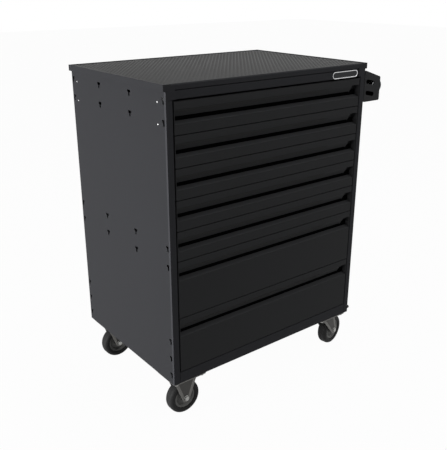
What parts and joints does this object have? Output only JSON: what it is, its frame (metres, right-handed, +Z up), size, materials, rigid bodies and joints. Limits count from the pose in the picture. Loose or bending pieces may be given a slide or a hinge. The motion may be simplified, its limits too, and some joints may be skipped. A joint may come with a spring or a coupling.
{
  "type": "roller tool cabinet",
  "caption": "Roller tool cabinet: folded steel body on casters, full width drawers with finger recesses, lid with rubber mat, push handle on one side.",
  "frame": {"origin": "centre of the bounding box's base, on the floor", "axes": "+Z up, the drawers face -Y, the push handle is on the +X side"},
  "size_m": [0.787, 0.4954, 0.948],
  "materials": {
    "powder_coat": "fine textured powder coat, near black grey",
    "drawer_paint": "fine textured powder coat, near black grey",
    "mat_rubber": "matt dark grey rubber mat with small studs",
    "runner_zinc": "bright zinc plated steel",
    "caster_zinc": "zinc plated pressed steel",
    "rim_plastic": "grey moulded plastic",
    "tyre_rubber": "black rubber tread",
    "grip_metal": "satin metal tube",
    "nameplate_metal": "satin blank plate"
  },
  "bodies": {
    "cabinet": {"left_side_panel": "powder_coat", "right_side_panel": "powder_coat", "back_panel": "powder_coat", "base_pan": "powder_coat", "header_panel": "powder_coat", "lid": "powder_coat", "top_mat": "mat_rubber", "nameplate": "nameplate_metal", "runner_frame_left": "runner_zinc", "runner_frame_right": "runner_zinc", "handle_bracket_front": "powder_coat", "handle_bracket_back": "powder_coat", "handle_grip": "grip_metal", "rigid_fork_front_left": "caster_zinc", "axle_front_left": "caster_zinc", "rigid_fork_back_left": "caster_zinc", "axle_back_left": "caster_zinc", "swivel_plate_front_right": "caster_zinc", "swivel_plate_back_right": "caster_zinc"},
    "drawer_1": {"drawer_front_1": "drawer_paint", "drawer_tray_1": "drawer_paint"},
    "middle_runners_1": {"middle_runner_left_1": "runner_zinc", "middle_runner_right_1": "runner_zinc"},
    "drawer_2": {"drawer_front_2": "drawer_paint", "drawer_tray_2": "drawer_paint"},
    "middle_runners_2": {"middle_runner_left_2": "runner_zinc", "middle_runner_right_2": "runner_zinc"},
    "drawer_3": {"drawer_front_3": "drawer_paint", "drawer_tray_3": "drawer_paint"},
    "middle_runners_3": {"middle_runner_left_3": "runner_zinc", "middle_runner_right_3": "runner_zinc"},
    "drawer_4": {"drawer_front_4": "drawer_paint", "drawer_tray_4": "drawer_paint"},
    "middle_runners_4": {"middle_runner_left_4": "runner_zinc", "middle_runner_right_4": "runner_zinc"},
    "drawer_5": {"drawer_front_5": "drawer_paint", "drawer_tray_5": "drawer_paint"},
    "middle_runners_5": {"middle_runner_left_5": "runner_zinc", "middle_runner_right_5": "runner_zinc"},
    "drawer_6": {"drawer_front_6": "drawer_paint", "drawer_tray_6": "drawer_paint"},
    "middle_runners_6": {"middle_runner_left_6": "runner_zinc", "middle_runner_right_6": "runner_zinc"},
    "drawer_7": {"drawer_front_7": "drawer_paint", "drawer_tray_7": "drawer_paint"},
    "middle_runners_7": {"middle_runner_left_7": "runner_zinc", "middle_runner_right_7": "runner_zinc"},
    "caster_front_right": {"swivel_fork_front_right": "caster_zinc", "axle_front_right": "caster_zinc"},
    "caster_back_right": {"swivel_fork_back_right": "caster_zinc", "axle_back_right": "caster_zinc"},
    "wheel_front_left": {"tyre_front_left": "tyre_rubber", "rim_front_left": "rim_plastic"},
    "wheel_back_left": {"tyre_back_left": "tyre_rubber", "rim_back_left": "rim_plastic"},
    "wheel_front_right": {"tyre_front_right": "tyre_rubber", "rim_front_right": "rim_plastic"},
    "wheel_back_right": {"tyre_back_right": "tyre_rubber", "rim_back_right": "rim_plastic"}
  },
  "joints": [
    {"name": "drawer_1_slide", "type": "slide", "parent": "cabinet", "child": "drawer_1", "axis": [0, -1, 0], "range_m": [0, 0.4]},
    {"name": "middle_runners_1_slide", "type": "slide", "parent": "cabinet", "child": "middle_runners_1", "axis": [0, -1, 0], "range_m": [0, 0.2]},
    {"name": "drawer_2_slide", "type": "slide", "parent": "cabinet", "child": "drawer_2", "axis": [0, -1, 0], "range_m": [0, 0.4]},
    {"name": "middle_runners_2_slide", "type": "slide", "parent": "cabinet", "child": "middle_runners_2", "axis": [0, -1, 0], "range_m": [0, 0.2]},
    {"name": "drawer_3_slide", "type": "slide", "parent": "cabinet", "child": "drawer_3", "axis": [0, -1, 0], "range_m": [0, 0.4]},
    {"name": "middle_runners_3_slide", "type": "slide", "parent": "cabinet", "child": "middle_runners_3", "axis": [0, -1, 0], "range_m": [0, 0.2]},
    {"name": "drawer_4_slide", "type": "slide", "parent": "cabinet", "child": "drawer_4", "axis": [0, -1, 0], "range_m": [0, 0.4]},
    {"name": "middle_runners_4_slide", "type": "slide", "parent": "cabinet", "child": "middle_runners_4", "axis": [0, -1, 0], "range_m": [0, 0.2]},
    {"name": "drawer_5_slide", "type": "slide", "parent": "cabinet", "child": "drawer_5", "axis": [0, -1, 0], "range_m": [0, 0.4]},
    {"name": "middle_runners_5_slide", "type": "slide", "parent": "cabinet", "child": "middle_runners_5", "axis": [0, -1, 0], "range_m": [0, 0.2]},
    {"name": "drawer_6_slide", "type": "slide", "parent": "cabinet", "child": "drawer_6", "axis": [0, -1, 0], "range_m": [0, 0.4]},
    {"name": "middle_runners_6_slide", "type": "slide", "parent": "cabinet", "child": "middle_runners_6", "axis": [0, -1, 0], "range_m": [0, 0.2]},
    {"name": "drawer_7_slide", "type": "slide", "parent": "cabinet", "child": "drawer_7", "axis": [0, -1, 0], "range_m": [0, 0.4]},
    {"name": "middle_runners_7_slide", "type": "slide", "parent": "cabinet", "child": "middle_runners_7", "axis": [0, -1, 0], "range_m": [0, 0.2]},
    {"name": "caster_front_right_swivel", "type": "hinge", "parent": "cabinet", "child": "caster_front_right", "pos_m": [0.2465, -0.20075, 0.117], "axis": [0, 0, 1], "continuous": true},
    {"name": "caster_back_right_swivel", "type": "hinge", "parent": "cabinet", "child": "caster_back_right", "pos_m": [0.2465, 0.18525, 0.117], "axis": [0, 0, 1], "continuous": true},
    {"name": "wheel_front_left_spin", "type": "hinge", "parent": "cabinet", "child": "wheel_front_left", "pos_m": [-0.331, -0.20075, 0.0505], "axis": [0, 1, 0], "continuous": true},
    {"name": "wheel_back_left_spin", "type": "hinge", "parent": "cabinet", "child": "wheel_back_left", "pos_m": [-0.331, 0.18525, 0.0505], "axis": [0, 1, 0], "continuous": true},
    {"name": "wheel_front_right_spin", "type": "hinge", "parent": "caster_front_right", "child": "wheel_front_right", "pos_m": [0.28773, -0.19274, 0.0505], "axis": [-0.1908, 0.9816, 0], "continuous": true},
    {"name": "wheel_back_right_spin", "type": "hinge", "parent": "caster_back_right", "child": "wheel_back_right", "pos_m": [0.2884, 0.18818, 0.0505], "axis": [-0.0698, 0.9976, 0], "continuous": true}
  ],
  "couplings": [
    {"joint": "middle_runners_1_slide", "follows": "drawer_1_slide", "ratio": 0.5},
    {"joint": "middle_runners_2_slide", "follows": "drawer_2_slide", "ratio": 0.5},
    {"joint": "middle_runners_3_slide", "follows": "drawer_3_slide", "ratio": 0.5},
    {"joint": "middle_runners_4_slide", "follows": "drawer_4_slide", "ratio": 0.5},
    {"joint": "middle_runners_5_slide", "follows": "drawer_5_slide", "ratio": 0.5},
    {"joint": "middle_runners_6_slide", "follows": "drawer_6_slide", "ratio": 0.5},
    {"joint": "middle_runners_7_slide", "follows": "drawer_7_slide", "ratio": 0.5}
  ]
}
